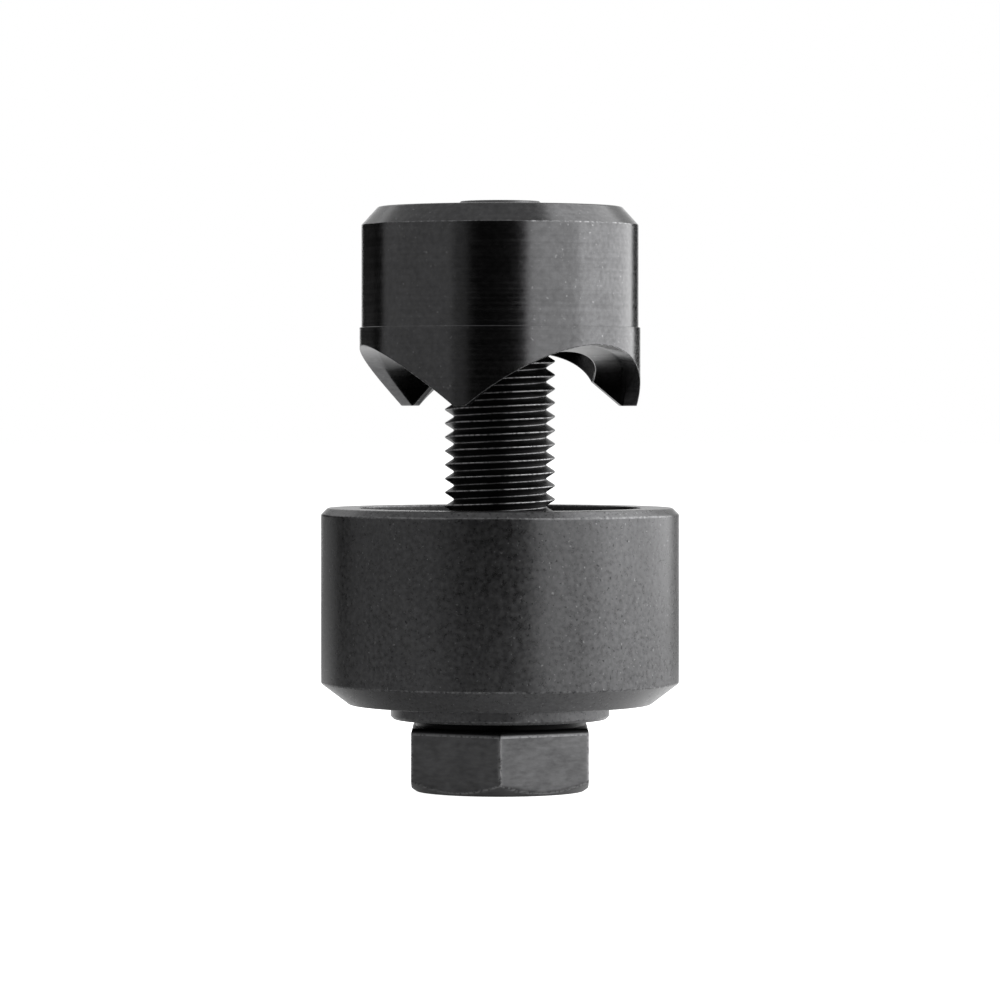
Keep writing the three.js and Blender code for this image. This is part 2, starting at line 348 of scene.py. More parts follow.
def mesh_piece(name, parts, body, material, nodes):
    """One closed piece from parts, each given as points, faces and wear and shade, merged where they
    meet.
    It rides on the body and stands for the nodes."""
    points = np.concatenate([part[0].reshape(-1, 3) for part in parts])
    wear_and_shade = np.concatenate([part[2].ravel() for part in parts])
    starts = np.cumsum([0] + [len(part[0].reshape(-1, 3)) for part in parts[:-1]])
    faces = np.concatenate([part[1] + start for part, start in zip(parts, starts)])
    mesh = bpy.data.meshes.new(name)
    mesh.from_pydata(points.tolist(), [], faces.tolist())
    mesh.attributes.new("wear_and_shade", "FLOAT", "POINT").data.foreach_set("value", wear_and_shade)
    shape = bmesh.new()
    shape.from_mesh(mesh)
    bmesh.ops.remove_doubles(shape, verts=shape.verts, dist=WELD)
    bmesh.ops.recalc_face_normals(shape, faces=shape.faces)
    shape.to_mesh(mesh)
    shape.free()
    mesh.polygons.foreach_set("use_smooth", [True] * len(mesh.polygons))
    mesh.materials.append(material)
    piece = bpy.data.objects.new(name, mesh)
    bpy.context.scene.collection.objects.link(piece)
    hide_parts(*nodes)
    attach(piece, body)
    return piece


def turned_part(corners, around, closed=True):
    """A turned surface with rounded corners, as points, quads and wear and shade."""
    profile, worn = rounded_profile(corners, around, closed)
    points = swept_points(profile, around)
    wear_and_shade = np.repeat(worn[:, None], len(around), axis=1)
    return points, grid_quads(len(profile), len(around), closed), wear_and_shade


# Materials


def add_node(tree, kind, inputs, output=0, **settings):
    """Adds a node of this kind with its settings, and returns one of its output sockets. The inputs
    are in the order of the node's own, or in a dictionary by name or place. Each is a constant or
    the output socket of another node."""
    node = tree.nodes.new(kind)
    for name, value in settings.items():
        setattr(node, name, value)
    for socket, value in inputs.items() if isinstance(inputs, dict) else enumerate(inputs):
        if isinstance(value, bpy.types.NodeSocket):
            tree.links.new(value, node.inputs[socket])
        else:
            node.inputs[socket].default_value = value
    return node.outputs[output] if node.outputs else None


def new_material(name):
    """Empty material, its node tree and the tree's Object coordinates."""
    material = bpy.data.materials.new(name)
    material.use_nodes = True
    tree = material.node_tree
    tree.nodes.clear()
    return material, tree, add_node(tree, "ShaderNodeTexCoord", [], output="Object")


def shade(colour_value, share=1.0):
    """Opaque colour, darkened to a share of its brightness."""
    return [*(c * share for c in colour_value), 1.0]


def object_noise(tree, place, size, detail, stretch=(1, 1, 1)):
    """Noise whose grains are about the given size in metres, stretched along X, Y and Z."""
    scale = Vector([1 / (size * s) for s in stretch])
    at = add_node(tree, "ShaderNodeMapping", {"Vector": place, "Scale": scale})
    return add_node(tree, "ShaderNodeTexNoise", {"Vector": at, "Scale": 1.0, "Detail": detail})


def spots(tree, place, size, low, high, at_low, at_high):
    """Round spots of about the given size, where fine noise runs from low to high."""
    noise = object_noise(tree, place, size, 1.0)
    return add_node(tree, "ShaderNodeMapRange", [noise, low, high, at_low, at_high])


def oil_and_shade(tree, worst, none):
    """How much a surface is darkened by oil and painted shade, from 1 where its wear and shade is at
    the worst to 0 at none.
    """
    wear_and_shade = add_node(tree, "ShaderNodeAttribute", [], output="Fac", attribute_name="wear_and_shade")
    return add_node(tree, "ShaderNodeMapRange", [wear_and_shade, worst, none, 1.0, 0.0])


def rubbed_edges(tree, place, low, high, most):
    """How bare the steel is where its wear is above 0: at most the given share, broken up by noise
    of 0.3 mm that runs from low to high."""
    wear_and_shade = add_node(tree, "ShaderNodeAttribute", [], output="Fac", attribute_name="wear_and_shade")
    worn = add_node(tree, "ShaderNodeMapRange", [wear_and_shade, 0.0, 1.0])
    noise = object_noise(tree, place, 0.3 * MM, 3.0)
    broken = add_node(tree, "ShaderNodeMapRange", [noise, low, high, 0.0, most])
    return add_node(tree, "ShaderNodeMath", [worn, broken], operation="MULTIPLY")


def metal_surface(tree, below, layers, roughness, relief, strength, distance):
    """Metal shader and output. Colours are laid over the one below, each given with the share of it
    that shows, and the relief's height, from 0 to 1, dents the surface by up to the distance."""
    for amount, paint in layers:
        inputs = {0: amount, 6: below, 7: paint}
        below = add_node(tree, "ShaderNodeMix", inputs, output=2, data_type="RGBA")
    inputs = {"Strength": strength, "Distance": distance, "Height": relief}
    normal = add_node(tree, "ShaderNodeBump", inputs)
    inputs = {"Base Color": below, "Metallic": 1.0, "Roughness": roughness, "Normal": normal}
    shader = add_node(tree, "ShaderNodeBsdfPrincipled", inputs)
    add_node(tree, "ShaderNodeOutputMaterial", {"Surface": shader})


def turned_black_oxide(finishes):
    """Tool steel, finely turned, hardened and blacked. The feed of the tool leaves lines round the
    piece. They are 0.1 mm apart on the real one, and drawn 0.25 mm apart, so that they show."""
    material, tree, place = new_material("turned steel, black oxide")
    oxide, bare = finishes.punch_oxide, finishes.bare_steel
    lines = object_noise(tree, place, 0.25 * MM, 2.0, (60, 60, 1))
    clouds = object_noise(tree, place, 3.0 * MM, 4.0)
    mottle = object_noise(tree, place, 0.45 * MM, 3.0)
    streaks = add_node(tree, "ShaderNodeMath", [lines, 0.6, mottle], operation="MULTIPLY_ADD")
    uneven = add_node(tree, "ShaderNodeMath", [clouds, 0.4, streaks], operation="MULTIPLY_ADD")
    layers = [
        (add_node(tree, "ShaderNodeMapRange", [uneven, 0.7, 1.3]), shade(oxide)),
        # Painted shade in the punch's hollow and on its bevel; the bore's thread is darkened the same
        # way.
        (oil_and_shade(tree, -1.0, 0.0), shade(oxide, 0.25)),
        (spots(tree, place, 0.3 * MM, 0.70, 0.80, 0.0, 0.45), shade(bare)),
        (rubbed_edges(tree, place, 0.44, 0.66, 0.8), shade(bare)),
    ]
    satin = add_node(tree, "ShaderNodeMath", [mottle, 0.5, lines], operation="MULTIPLY_ADD")
    rough = add_node(tree, "ShaderNodeMapRange", [satin, 0.45, 1.05, 0.17, 0.25])
    metal_surface(tree, shade(oxide, 0.62), layers, rough, lines, 0.4, 0.01 * MM)
    return material


def tumbled_black_oxide(finishes):
    """Tool steel, turned, hardened, tumbled and blacked: satin, with small pits that stay dark and
    specks where the oxide is thin, both a few tenths of a millimetre wide."""
    material, tree, place = new_material("tumbled steel, black oxide")
    oxide, bare = finishes.die_oxide, finishes.bare_steel
    grain = object_noise(tree, place, 0.4 * MM, 3.0)
    clouds = object_noise(tree, place, 5.0 * MM, 4.0)
    uneven = add_node(tree, "ShaderNodeMath", [clouds, 0.3, grain], operation="MULTIPLY_ADD")
    layers = [
        (add_node(tree, "ShaderNodeMapRange", [uneven, 0.35, 0.9]), shade(oxide)),
        (spots(tree, place, 0.3 * MM, 0.24, 0.34, 1.0, 0.0), shade(oxide, 0.35)),
        # Painted shade in the die's cavity, where wear and shade is below 0.
        (oil_and_shade(tree, -1.0, 0.0), shade(oxide, 0.4)),
        (spots(tree, place, 0.28 * MM, 0.70, 0.78, 0.0, 0.55), shade(bare)),
        (rubbed_edges(tree, place, 0.44, 0.66, 0.6), shade(bare)),
    ]
    rough = add_node(tree, "ShaderNodeMapRange", [grain, 0.3, 0.7, 0.26, 0.36])
    metal_surface(tree, shade(oxide, 0.56), layers, rough, grain, 0.3, 0.02 * MM)
    return material


def forged_black_oxide(finishes):
    """Alloy steel screw, forged, rolled, blacked and oiled. The crests and roots of the thread and
    the edges of the head are rubbed bright where the punch and a spanner bear on them. The flanks
    of the thread are darkened with oil and painted shade, and the collar and the top of the head carry
    near black painted shade under the washer."""
    material, tree, place = new_material("forged steel, black oxide")
    oxide = finishes.screw_oxide
    grain = object_noise(tree, place, 0.35 * MM, 3.0, (2.5, 2.5, 1))
    clouds = object_noise(tree, place, 2.0 * MM, 4.0)
    uneven = add_node(tree, "ShaderNodeMath", [clouds, grain], operation="ADD")
    layers = [
        (add_node(tree, "ShaderNodeMapRange", [uneven, 0.7, 1.3]), shade(oxide)),
        # Thread flanks darkened: oil and painted shade.
        (oil_and_shade(tree, -1.0, 0.0), shade(oxide, 0.2)),
        # Near black painted shade in the gap under the washer, on the collar and the top of the head.
        (oil_and_shade(tree, -2.0, -1.0), shade(oxide, 0.03)),
        (rubbed_edges(tree, place, 0.38, 0.52, 0.95), shade(finishes.bare_steel)),
    ]
    rough = add_node(tree, "ShaderNodeMapRange", [clouds, 0.3, 0.7, 0.34, 0.42])
    metal_surface(tree, shade(oxide, 0.6), layers, rough, grain, 0.2, 0.02 * MM)
    return material


def bearing_steel(name, paint, roughness, line_size):
    """Bearing steel, ground after hardening. Grinding leaves lines round the piece, finer than the
    render shows, so they are drawn at the given size."""
    material, tree, place = new_material(name)
    lines = object_noise(tree, place, line_size, 2.0, (40, 40, 1))
    layers = [(add_node(tree, "ShaderNodeMapRange", [lines, 0.3, 0.7]), shade(paint))]
    rough = add_node(tree, "ShaderNodeMapRange", [lines, 0.3, 0.7, roughness, roughness + 0.06])
    metal_surface(tree, shade(paint, 0.85), layers, rough, lines, 0.1, 0.005 * MM)
    return material


def pressed_brass(finishes):
    """Brass strip, pressed and washed, with a faint unevenness of about 1 mm."""
    material, tree, place = new_material("pressed brass")
    clouds = object_noise(tree, place, 1.0 * MM, 3.0)
    layers = [(add_node(tree, "ShaderNodeMapRange", [clouds, 0.3, 0.7]), shade(finishes.brass))]
    rough = add_node(tree, "ShaderNodeMapRange", [clouds, 0.3, 0.7, 0.28, 0.38])
    metal_surface(tree, shade(finishes.brass, 0.8), layers, rough, clouds, 0.1, 0.01 * MM)
    return material


# Pieces


class ScrewPunchOperator:
    """What the operators share."""

    bl_options = {"REGISTER", "UNDO"}

    @property
    def sizes(self):
        return bpy.context.scene.screw_punch


class SCREWPUNCH_OT_stage(ScrewPunchOperator, bpy.types.Operator):
    """Camera, pale floor, soft lights and the dark room that the steel reflects"""

    bl_idname = "screw_punch.stage"
    bl_label = "Stage"

    def execute(self, context):
        stage = self.sizes.stage
        scene = context.scene
        scene.view_settings.view_transform = "Standard"
        self.camera(scene, stage)
        self.floor(scene, stage)
        self.room(scene, stage)
        # Azimuth in degrees, then half the width, the foot and the height as shares of the distance
        softboxes = [
            ("key softbox", 104, 0.754, 0, 0.78, stage.key_light),
            ("high softbox", 112, 0.7, 0.8, 1.9, stage.high_light),
            ("side softbox", 44.5, 0.41, 0, 1.5, stage.side_light),
            ("fill softbox", -76, 0.727, 0, 1.3, stage.fill_light),
            ("edge softbox", -34, 0.14, 0, 1.3, stage.edge_light),
            ("paper backdrop", 180, 0.3, 0, 0.34, stage.back_light),
            ("rear softbox", 188, 1.07, 0.35, 0.5, stage.rear_light),
        ]
        for softbox in softboxes:
            self.softbox(scene, stage.light_distance, *softbox)
        self.overhead(scene, stage)
        return {"FINISHED"}

    def camera(self, scene, stage):
        """Camera at the photograph's angle: nearly level with the tool, straight from the front."""
        eye = Vector((0, -stage.eye_distance, stage.eye_level))
        aim = Vector((0, 0, stage.aim_level))
        camera = bpy.data.cameras.new("camera")
        camera.lens = stage.focal_length
        camera.clip_start = 1 * MM
        holder = bpy.data.objects.new("camera", camera)
        holder.location = eye
        holder.rotation_euler = (aim - eye).to_track_quat("-Z", "Y").to_euler()
        scene.collection.objects.link(holder)
        scene.camera = holder

    def floor(self, scene, stage):
        """Sheet of white paper just under the head, whose colour fades to black far out: painted
        shade. Its emission paints a pool of light on it behind on the right, in place of a lamp. For
        the camera alone it glows towards white all over, and can be looked through from below."""
        half, level = 3.0, -0.01 * MM
        corners = [(x * half, y * half, level) for x, y in [(-1, -1), (1, -1), (1, 1), (-1, 1)]]
        mesh = bpy.data.meshes.new("floor")
        mesh.from_pydata(corners, [], [(0, 1, 2, 3)])
        material, tree, place = new_material("white paper")
        seen = add_node(tree, "ShaderNodeLightPath", [], output="Is Camera Ray")
        away = add_node(tree, "ShaderNodeVectorMath", [place], output="Value", operation="LENGTH")
        glow = add_node(tree, "ShaderNodeMapRange", [away, 10 * MM, 60 * MM, stage.floor_glow, 1.0])
        # The paper's colour fades to black far out: painted shade of the unlit room.
        dark = add_node(tree, "ShaderNodeMapRange", [away, 70 * MM, 220 * MM, 0.0, 1.0])
        inputs = {0: dark, 6: shade(self.sizes.finishes.floor), 7: BLACK}
        paper_with_painted_dark = add_node(tree, "ShaderNodeMix", inputs, output=2, data_type="RGBA")
        # Painted light: the paper glows brighter behind on the right, a pool of light with no lamp,
        # fading far out.
        inputs = [place, Vector((0.6, 0.8, 0))]
        along = add_node(tree, "ShaderNodeVectorMath", inputs, output="Value", operation="DOT_PRODUCT")
        painted_light_side = add_node(tree, "ShaderNodeMapRange", [along, -15 * MM, 30 * MM, 0.0, stage.floor_painted_light])
        fade = add_node(tree, "ShaderNodeMapRange", [away, 60 * MM, 180 * MM, 1.0, 0.4])
        painted_light_pool = add_node(tree, "ShaderNodeMath", [painted_light_side, fade], operation="MULTIPLY")
        light = add_node(tree, "ShaderNodeMath", [seen, glow, painted_light_pool], operation="MULTIPLY_ADD")
        inputs = {
            "Base Color": paper_with_painted_dark,
            "Roughness": 1.0,
            "Specular IOR Level": 0.0,
            "Emission Color": WHITE,
            "Emission Strength": light,
        }
        paper = add_node(tree, "ShaderNodeBsdfPrincipled", inputs)
        below = add_node(tree, "ShaderNodeNewGeometry", [], output="Backfacing")
        open_below = add_node(tree, "ShaderNodeMath", [seen, below], operation="MULTIPLY")
        clear = add_node(tree, "ShaderNodeBsdfTransparent", [])
        surface = add_node(tree, "ShaderNodeMixShader", [open_below, paper, clear])
        add_node(tree, "ShaderNodeOutputMaterial", {"Surface": surface})
        mesh.materials.append(material)
        floor = bpy.data.objects.new("floor", mesh)
        scene.collection.objects.link(floor)

    def room(self, scene, stage):
        """White backdrop for the camera, and a dark room for everything else."""
        world = bpy.data.worlds.new("studio")
        world.use_nodes = True
        tree = world.node_tree
        tree.nodes.clear()
        seen = add_node(tree, "ShaderNodeLightPath", [], output="Is Camera Ray")
        dark = add_node(tree, "ShaderNodeBackground", [WHITE, stage.room_light])
        white = add_node(tree, "ShaderNodeBackground", [WHITE, 1.0])
        surface = add_node(tree, "ShaderNodeMixShader", [seen, dark, white])
        add_node(tree, "ShaderNodeOutputWorld", {"Surface": surface})
        scene.world = world

    def softbox(self, scene, distance, name, azimuth, half_width, foot, height, brightness):
        """Upright softbox that stands at the azimuth, in degrees from the camera towards +X, and
        faces the tool. Half its width, its foot and its height are shares of the distance."""
        turn = math.radians(azimuth)
        outwards = Vector((math.sin(turn), -math.cos(turn), 0))
        place = distance * (outwards + Vector((0, 0, foot + height / 2)))
        size = 2 * half_width * distance, height * distance
        self.area_light(scene, name, place, -outwards, *size, brightness)

    def overhead(self, scene, stage):
        """Softbox over the tool, facing down."""
        place = Vector((0, 0, 1.3 * stage.light_distance))
        size = 4 * stage.light_distance
        self.area_light(scene, "top softbox", place, -place, size, size, stage.top_light)

    def area_light(self, scene, name, place, towards, width, height, brightness):
        """Rectangular light whose surface has the given brightness, with white as 1."""
        light = bpy.data.lights.new(name, "AREA")
        light.shape = "RECTANGLE"
        light.size = width
        light.size_y = height
        light.energy = brightness * width * height * math.pi
        holder = bpy.data.objects.new(name, light)
        holder.location = place
        holder.rotation_euler = towards.to_track_quat("-Z", "Y").to_euler()
        holder.visible_camera = False
        scene.collection.objects.link(holder)


class SCREWPUNCH_OT_punch(ScrewPunchOperator, bpy.types.Operator):
    """Punch with its waved cutting edge, step, hollow and threaded bore"""

    bl_idname = "screw_punch.punch"
    bl_label = "Punch"

    def execute(self, context):
        sizes = self.sizes.punch
        first_tip = FRONT + sizes.tooth_turn
        around = turned_angles(PUNCH_COLUMNS, first_tip)
        outside = self.outside(sizes, around, first_tip)
        bore = self.threaded_bore(sizes, around)
        finish = turned_black_oxide(self.sizes.finishes)
        parts = [turned_part(outside, around, closed=False), bore]
        mesh_piece("toothed_punch", parts, "punch", finish, ["punch"])
        return {"FINISHED"}

    def fall(self, sizes, around, first_tip):
        """How far an edge has fallen from a valley to a tip, from 0 to 1: f ** exponent, where f
        grows evenly from 0 in mid-valley to 1 where the flat end of the tooth begins."""
        turn = (around - first_tip) * sizes.teeth / FULL_TURN
        from_valley = np.abs(turn - np.floor(turn) - 0.5) * 2
        flat_share = sizes.tip_length * sizes.teeth / (math.pi * sizes.hole_diameter)
        return np.minimum(1, from_valley / (1 - flat_share)) ** sizes.edge_exponent

    def outside(self, sizes, around, first_tip):
        """Corners, each a radius, level, setback and wear and shade, from the mouth of the bore on
        top, down the outside, round the cutting edge and up the hollow to the mouth of the bore below.
        The bevel leads from the end of a tooth up to the inner edge, and in a valley down to it. It
        and the hollow carry painted shade."""
        tips, top = punch_low.z, punch_high.z
        fall = self.fall(sizes, around, first_tip)
        edge = sizes.tooth_depth * (1 - fall)
        inner_valley = sizes.tooth_depth - sizes.valley_dip
        inner_edge = inner_valley + (sizes.bevel_rise - inner_valley) * fall
        land = sizes.hole_diameter / 2
        body = land - sizes.body_step
        hollow = land - sizes.wall
        foot = land - sizes.tip_width
        across, rise = hollow - foot, inner_edge - edge
        # The bevel carries painted shade.
        shaded_bevel = [(foot + s * across, tips + edge + s * rise, 0, -0.9) for s in (0.12, 0.95)]
        step = tips + sizes.tooth_depth + sizes.land_above_valley
        ceiling = tips + sizes.tooth_depth + sizes.hollow_above_valley
        return [
            (sizes.countersink_radius, top, 0, 0),
            (sizes.countersink_radius + GUARD, top, 0, 0),
            (body - sizes.chamfer_width, top, 0.15 * MM, 0.2),
            (body, top - sizes.chamfer_height, 0.05 * MM, 0.6),
            (body, step, 0.05 * MM, 0),
            (land, step, 0.03 * MM, 0),
            (land, tips + edge, 0.06 * MM, 0.9),
            (foot, tips + edge, 0.1 * MM, 0),
            *shaded_bevel,
            (hollow, tips + inner_edge, 0.08 * MM, 0.6),
            # The hollow's wall and ceiling carry painted shade.
            (hollow, tips + inner_edge + 0.3 * MM, 0, -0.9),
            (hollow, ceiling, sizes.hollow_corner, -0.9),
            (sizes.countersink_radius + GUARD, ceiling, 0, 0),
            (sizes.countersink_radius, ceiling, 0, 0),
        ]

    def threaded_bore(self, sizes, around):
        """Thread of the bore, darkened all over, in step with the screw's, with a cone of 45 degrees
        at each end."""
        screw = self.sizes.screw
        low = punch_low.z + sizes.tooth_depth + sizes.hollow_above_valley
        high = punch_high.z
        shares = [0, 0.0925, 0.2, 0.3, 0.4]
        shares += [1 - s for s in reversed(shares[1:])]
        # From the middle of the groove to that of the land
        places = [0, 0.0925, 0.4, 0.5]
        radii = np.array([5.06, 5.03, 4.35, 4.35]) * MM

        def thread(share_of_pitch):
            return np.interp(share_of_pitch, places, radii)

        def ends(radius, level):
            cone = sizes.countersink_radius - np.minimum(level - low, high - level)
            return np.maximum(radius, cone)

        # Darkened all over.
        def worn(share_of_pitch):
            return np.full(share_of_pitch.shape, -1)

        start = screw.crest_level
        return helical_band(low, high, screw.pitch, start, shares, around, thread, ends, worn)


class SCREWPUNCH_OT_die(ScrewPunchOperator, bpy.types.Operator):
    """Cup-shaped die with its chamfers, cavity and counterbore"""

    bl_idname = "screw_punch.die"
    bl_label = "Die"

    def execute(self, context):
        sizes = self.sizes.die
        base, rim = die_low.z, die_high.z
        outer = die_high.x
        cavity = self.sizes.punch.hole_diameter / 2 + sizes.cutting_clearance
        counterbore = shaft_high.x + sizes.counterbore_clearance
        shelf = housing_high.z
        floor = rim - sizes.cavity_depth
        bore = sizes.bore_radius
        fine, edge = 0.08 * MM, 0.1 * MM
        corners = [
            (counterbore, base, edge, 0.5),
            (outer - sizes.base_chamfer_width, base, edge, 0.6),
            (outer, base + sizes.base_chamfer_height, edge, 0.8),
            (outer, rim - sizes.rim_chamfer, edge, 0.5),
            (outer - sizes.rim_chamfer, rim, edge, 0.3),
            (cavity, rim, fine, 0.6),
            # The cavity's wall and floor carry painted shade inside the cup.
            (cavity, rim - 3 * fine, 0, -0.8),
            (cavity, floor, sizes.cavity_corner, -0.8),
            (bore + sizes.bore_chamfer, floor, fine, 0.5),
            (bore, floor - sizes.bore_chamfer, fine, 0),
            (bore, shelf, fine, 0),
            (counterbore, shelf, fine, 0),
        ]
        around = turned_angles(DIE_COLUMNS)
        finish = tumbled_black_oxide(self.sizes.finishes)
        mesh_piece("cup_die", [turned_part(corners, around)], "die", finish, ["die"])
        return {"FINISHED"}


class SCREWPUNCH_OT_washers(ScrewPunchOperator, bpy.types.Operator):
    """Shaft washer and housing washer with their raceway grooves"""

    bl_idname = "screw_punch.washers"
    bl_label = "Bearing washers"

    def execute(self, context):
        sizes = self.sizes.bearing
        finishes = self.sizes.finishes
        around = turned_angles(WASHER_COLUMNS)
        shaft = self.washer(sizes, sizes.shaft_bore, shaft_low.z, shaft_high.z)
        housing = self.washer(sizes, sizes.housing_bore, housing_high.z, housing_low.z)
        blacked = tumbled_black_oxide(finishes)
        ground = bearing_steel("bearing steel, ground", finishes.ground_steel, 0.22, 0.2 * MM)
        mesh_piece(
            "shaft_washer_ring",
            [turned_part(shaft, around)],
            "screw",
            blacked,
            ["shaft_washer"],
        )
        mesh_piece(
            "housing_washer_ring",
            [turned_part(housing, around)],
            "die",
            ground,
            ["housing_washer"],
        )
        return {"FINISHED"}

    def washer(self, sizes, bore, plain, grooved):
        """Profile of a washer from its plain face to its grooved one. The groove is an arc whose
        centre lies beyond the grooved face. The corners are as in the punch's profile."""
        outer = shaft_high.x
        up = math.copysign(1, grooved - plain)
        chamfer = sizes.washer_chamfer
        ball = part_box(BALLS[0])
        ball_radius = (ball[1].z - ball[0].z) / 2
        groove = ball_radius + sizes.raceway_play
        beyond = groove - sizes.raceway_depth
        centre = grooved + up * beyond
        ring = (outer + self.sizes.bearing.shaft_bore) / 2
        reach = math.acos(beyond / groove)
        down = -up * math.pi / 2
        fine = 0.06 * MM
        race = arc_corners(ring, centre, groove, down + up * reach, down - up * reach)
        return [
            (bore, plain, fine, 0.3),
            (outer - chamfer, plain, fine, 0.3),
            (outer, plain + up * chamfer, fine, 0.6),
            (outer, grooved - up * chamfer, fine, 0.6),
            (outer - chamfer, grooved, fine, 0.3),
            *race,
            (bore, grooved, fine, 0),
        ]


class SCREWPUNCH_OT_balls(ScrewPunchOperator, bpy.types.Operator):
    """Polished balls of the thrust bearing and the finish of their brass cage"""

    bl_idname = "screw_punch.balls"
    bl_label = "Balls and cage"

    def execute(self, context):
        finishes = self.sizes.finishes
        polished = bearing_steel("bearing steel, polished", finishes.ball_steel, 0.06, 0.1 * MM)
        for node in BALLS:
            low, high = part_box(node)
            name = node.replace("bearing_ball", "polished_ball")
            part = self.ball((low + high) / 2, (high.z - low.z) / 2)
            mesh_piece(name, [part], "cage", polished, [node])
        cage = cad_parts["ball_cage"]
        cage.data.materials.clear()
        cage.data.materials.append(pressed_brass(finishes))
        return {"FINISHED"}

    def ball(self, centre, radius):
        """Sphere: centre + radius (cos b cos a, cos b sin a, sin b), with a round and b from pole
        to pole."""
        around = turned_angles(BALL_COLUMNS)
        rise = np.linspace(-math.pi / 2, math.pi / 2, BALL_ROWS + 1)
        profile = radius * np.stack([np.cos(rise), np.sin(rise)], -1)[:, None, :]
        points = swept_points(profile, around) + np.array(centre)
        quads = grid_quads(BALL_ROWS + 1, BALL_COLUMNS, closed=False)
        return points, quads, np.zeros(points.shape[:2])


class SCREWPUNCH_OT_draw_screw(ScrewPunchOperator, bpy.types.Operator):
    """Draw screw with its hexagon head, collar, plain shank, thread and chamfered end"""

    bl_idname = "screw_punch.draw_screw"
    bl_label = "Draw screw"

    def execute(self, context):
        sizes = self.sizes.screw
        around = self.columns()
        head = self.head(sizes, around)
        thread = self.thread(sizes, around)
        cap = self.end_cap(sizes, around)
        finish = forged_black_oxide(self.sizes.finishes)
        mesh_piece(
            "threaded_draw_screw", [head, thread, cap], "screw", finish, ["draw_screw"]
        )
        return {"FINISHED"}

    def columns(self):
        """Angles crowded towards the six corners of the head, which are at 30 degrees and every 60
        degrees from there. The offsets are in degrees from a corner."""
        offsets = np.array([0, 0.35, 0.75, 1.3, 2.2, 4, 8, 13, 19, 25])
        near = np.concatenate([-offsets[:0:-1], offsets, [30]])
        corners = 30 + 60 * np.arange(6)
        return np.radians((corners[:, None] + near).ravel())

    def head(self, sizes, around):
        """Head and collar, from the middle of the outer face to the end of the plain shank. The
        upper edge of the hexagon is a quarter of an ellipse, rubbed below and painted with shade
        above, where the washer shades it:
        radius - inward (1 - cos q), shoulder - down (1 - sin q), with q up to 90 degrees."""
        face = screw_high.x * sizes.face_share
        height = shaft_low.z
        shoulder = height - sizes.collar_height
        inward, down = 0.3 * MM, 0.6 * MM
        top = shoulder - down
        cone_rows = np.concatenate([[0, 0.02, 0.05], np.arange(0.1, 1.4, 0.05)]) * MM
        rise = np.concatenate([cone_rows, np.linspace(cone_rows[-1], top - GUARD, 8)[1:], [top]])
        radius, worn = self.hexagon(sizes, around, face, rise)
        worn[-1] = 0.6
        q = np.linspace(0, math.pi / 2, 2 * FILLET_STEPS + 1)[1:, None]
        edge_radius = radius[-1] - inward * (1 - np.cos(q))
        edge_level = np.broadcast_to(shoulder - down * (1 - np.sin(q)), edge_radius.shape)
        # The collar carries near black painted shade, in the gap under the washer.
        collar = [
            (sizes.collar_radius, shoulder, 0, -2),
            (sizes.collar_radius, shoulder + GUARD, 0, -2),
            (sizes.collar_radius, height, 0.08 * MM, -2),
            (sizes.crest_radius, height, 0.15 * MM, 0),
            (sizes.crest_radius, height + sizes.plain_shank, 0, 0),
        ]
        upper, upper_wear_and_shade = rounded_profile(collar, around, closed=False)
        plain = np.zeros(len(around))
        face_radii = np.array([0, face - 0.3 * MM, face - 0.08 * MM])[:, None]
        rows = [
            (face_radii + plain, np.zeros((3, 1)) + plain, np.zeros((3, 1)) + plain),
            (radius, rise[:, None] + plain, worn),
            # The edge is rubbed low down and painted with shade higher up; the row after it is near
            # black painted shade.
            (edge_radius, edge_level, np.interp(q, [0.2, 0.5], [0.6, -1.5]) + plain),
            (edge_radius[-1:] - 0.03 * MM, edge_level[-1:], plain[None] - 2),
            (upper[..., 0], upper[..., 1], upper_wear_and_shade[:, None] + plain),
        ]
        radius, level, wear_and_shade = [np.concatenate(part) for part in zip(*rows)]
        points = swept_points(np.stack([radius, level], -1), around)
        return points, grid_quads(len(points), len(around), closed=False), wear_and_shade

    def hexagon(self, sizes, around, face, rise):
        """Radius and wear of the head at each rise above its outer face. The radius is the smooth
        least of the six flats and the cone: one over the p-th root of the sum of
        (1 / limit) ** p, where a flat's limit at angle a is half the width across flats over
        cos (a - flat's). It is worn where two limits meet."""
        p = 120
        facing = np.cos(around[:, None] - np.radians(60 * np.arange(6)))
        flats = (np.maximum(facing, 0) / screw_high.x) ** p
        cone = (face + rise / math.tan(sizes.head_chamfer)) ** -p
        whole = np.ones((len(rise), len(around), 1))
        terms = np.concatenate([whole * flats, whole * cone[:, None, None]], -1)
        total = terms.sum(-1)
        return total ** (-1 / p), np.minimum(1, 3 * (1 - terms.max(-1) / total))

    def thread(self, sizes, around):
        """Rolled thread with flanks of 30 degrees, a small flat crest and a round root, both
        rubbed, and flanks darkened with oil and painted shade. It runs out into the plain shank below
        and in the chamfer of the end above."""
        low, high = shaft_low.z + sizes.plain_shank, screw_high.z
        shares = [0, 0.04, 0.0625, 0.08, 0.15, 0.25, 0.34, 0.42, 0.46, 0.5]
        shares += [1 - s for s in reversed(shares[1:-1])]
        # From the middle of the crest to that of the root
        places = [0, 0.04, 0.0625, 0.42, 0.46, 0.5]
        depths = np.array([0, 0.005, 0.035, 0.72, 0.765, 0.78]) * MM

        def thread(share_of_pitch):
            return np.interp(share_of_pitch, places, sizes.crest_radius - depths)

        def ends(radius, level):
            runout = sizes.crest_radius - (level - low)
            chamfer = sizes.end_radius + (high - level)
            return np.minimum(np.maximum(radius, runout), chamfer)

        # Crests and roots rubbed, flanks darkened with oil and painted shade.
        def worn(share_of_pitch):
            return np.interp(share_of_pitch, [0.065, 0.075, 0.43, 0.45], [1, -1, -1, 0.5])

        start = sizes.crest_level
        return helical_band(low, high, sizes.pitch, start, shares, around, thread, ends, worn)

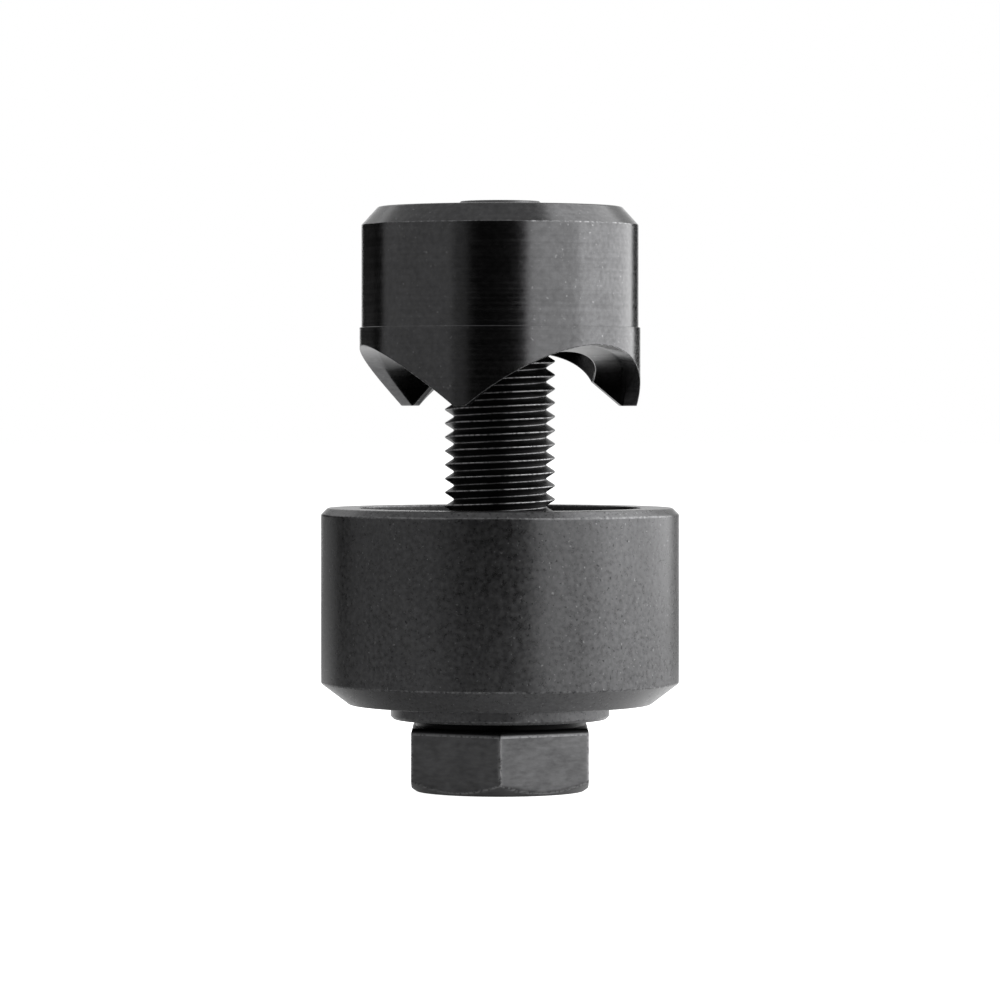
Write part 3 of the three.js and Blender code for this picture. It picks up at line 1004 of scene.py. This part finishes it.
    def end_cap(self, sizes, around):
        """Flat end of the screw."""
        radii = [sizes.end_radius, sizes.end_radius - GUARD, 0]
        return turned_part([(radius, screw_high.z, 0, 0) for radius in radii], around, closed=False)


class SCREWPUNCH_PT_panel(bpy.types.Panel):
    """Pieces of the screw punch, and their sizes and finishes"""

    bl_idname = "SCREWPUNCH_PT_panel"
    bl_label = "Screw punch"
    bl_space_type = "VIEW_3D"
    bl_region_type = "UI"
    bl_category = "Screw punch"

    def draw(self, context):
        settings = context.scene.screw_punch
        for operator in OPERATORS:
            self.layout.operator(operator.bl_idname)
        for name, group in GROUPS.items():
            box = self.layout.box()
            box.label(text=name.capitalize())
            for size in group.__annotations__:
                box.prop(getattr(settings, name), size)


class ScrewPunchSettings(bpy.types.PropertyGroup):
    punch: PointerProperty(type=PunchSizes, name="Punch", description="Sizes of the punch")
    die: PointerProperty(type=DieSizes, name="Die", description="Sizes of the die")
    bearing: PointerProperty(type=BearingSizes, name="Bearing", description="Sizes of the bearing")
    screw: PointerProperty(type=ScrewSizes, name="Screw", description="Sizes of the draw screw")
    finishes: PointerProperty(type=Finishes, name="Finishes", description="Colours")
    stage: PointerProperty(type=StageSizes, name="Stage", description="Camera and lights")


OPERATORS = [
    SCREWPUNCH_OT_stage,
    SCREWPUNCH_OT_punch,
    SCREWPUNCH_OT_die,
    SCREWPUNCH_OT_washers,
    SCREWPUNCH_OT_balls,
    SCREWPUNCH_OT_draw_screw,
]
CLASSES = [*GROUPS.values(), ScrewPunchSettings, *OPERATORS, SCREWPUNCH_PT_panel]


def register():
    for item in CLASSES:
        bpy.utils.register_class(item)
    bpy.types.Scene.screw_punch = PointerProperty(type=ScrewPunchSettings)


def unregister():
    del bpy.types.Scene.screw_punch
    for item in reversed(CLASSES):
        bpy.utils.unregister_class(item)


def main():
    register()
    bpy.ops.screw_punch.stage()
    bpy.ops.screw_punch.punch()
    bpy.ops.screw_punch.die()
    bpy.ops.screw_punch.washers()
    bpy.ops.screw_punch.balls()
    bpy.ops.screw_punch.draw_screw()


if __name__ == "__main__":
    main()
